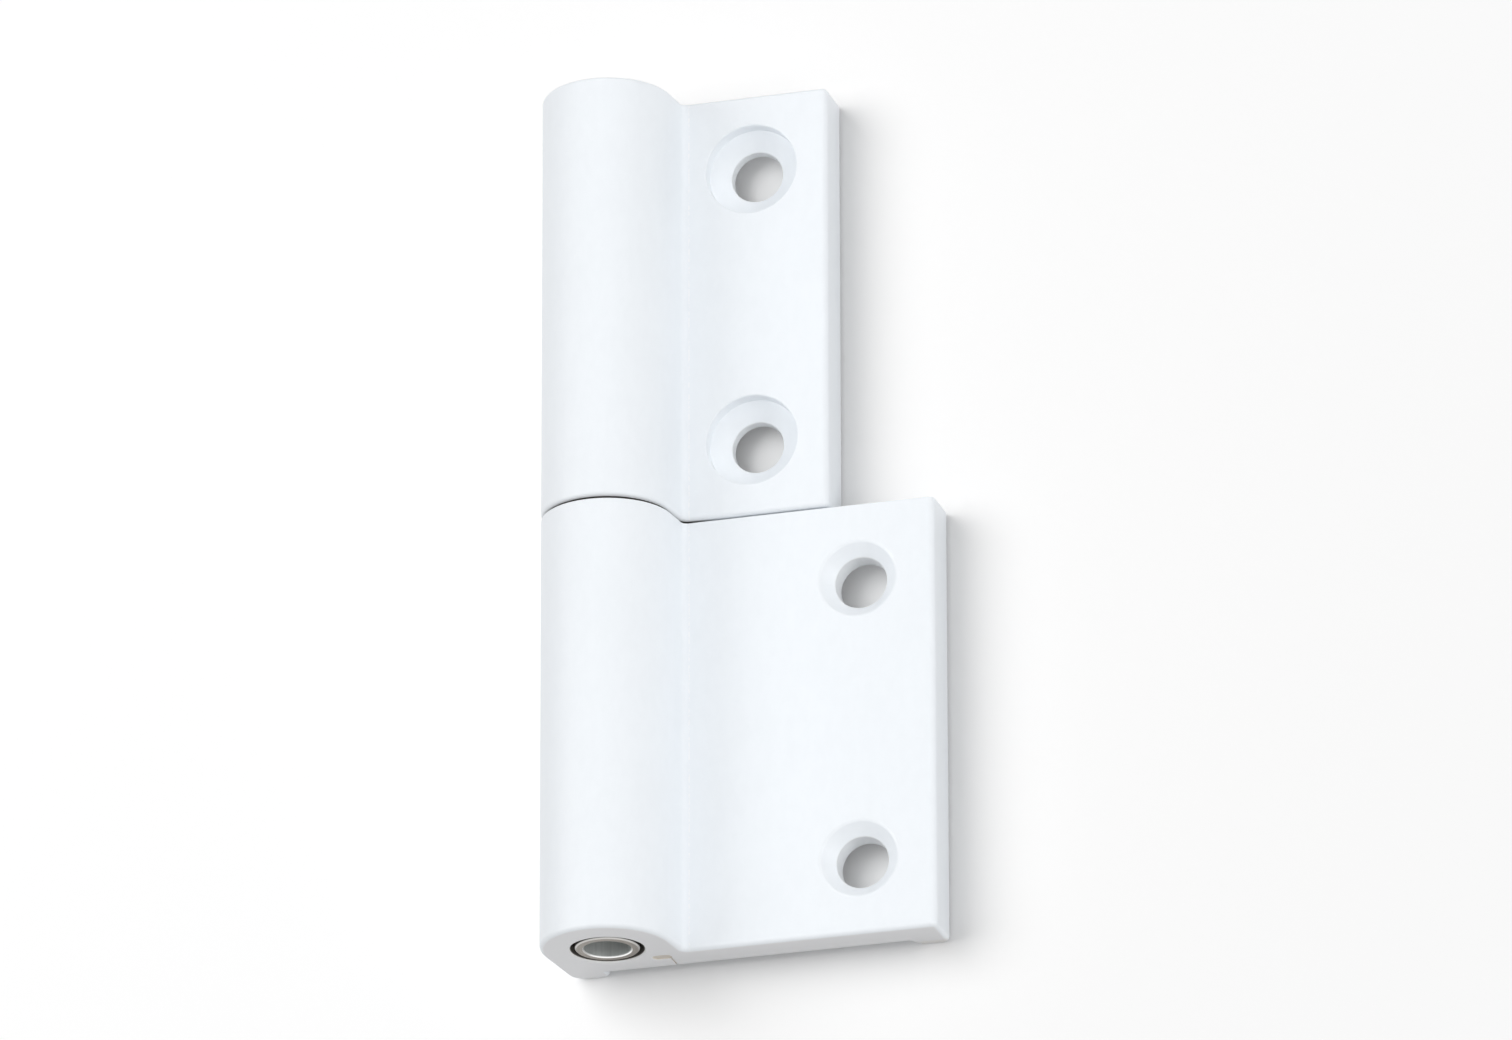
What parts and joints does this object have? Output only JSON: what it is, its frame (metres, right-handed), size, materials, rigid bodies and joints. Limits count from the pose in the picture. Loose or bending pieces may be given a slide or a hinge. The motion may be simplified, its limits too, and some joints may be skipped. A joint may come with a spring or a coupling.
{
  "type": "window hinge",
  "caption": "Powder-coated window hinge: a wide frame leaf and a narrow sash leaf with knuckles end to end on a hollow steel pin, fixed by screws through countersunk holes.",
  "frame": {"origin": "on the mounting plane, under the middle of the box around both leaves; Y = 0 is the parting between the knuckles", "axes": "+X from the knuckles to the leaves' free edges, +Y along the pin from the frame knuckle to the sash knuckle, +Z out of the mounting plane towards the painted fronts"},
  "size_m": [0.0438, 0.1002, 0.0161],
  "materials": {
    "white_coat": "white powder coat, satin, with fine orange peel",
    "pin_steel": "plain drawn tube",
    "bush_nylon": "natural nylon"
  },
  "bodies": {
    "frame": {"frame_leaf": "white_coat", "thrust_bush": "bush_nylon", "end_bush": "bush_nylon"},
    "sash": {"sash_leaf": "white_coat", "hinge_pin": "pin_steel"}
  },
  "joints": [
    {"name": "sash_swing", "type": "hinge", "parent": "frame", "child": "sash", "pos_m": [-0.0145, 0, 0.0087], "axis": [0, -1, 0], "range_deg": [0, 180]}
  ]
}
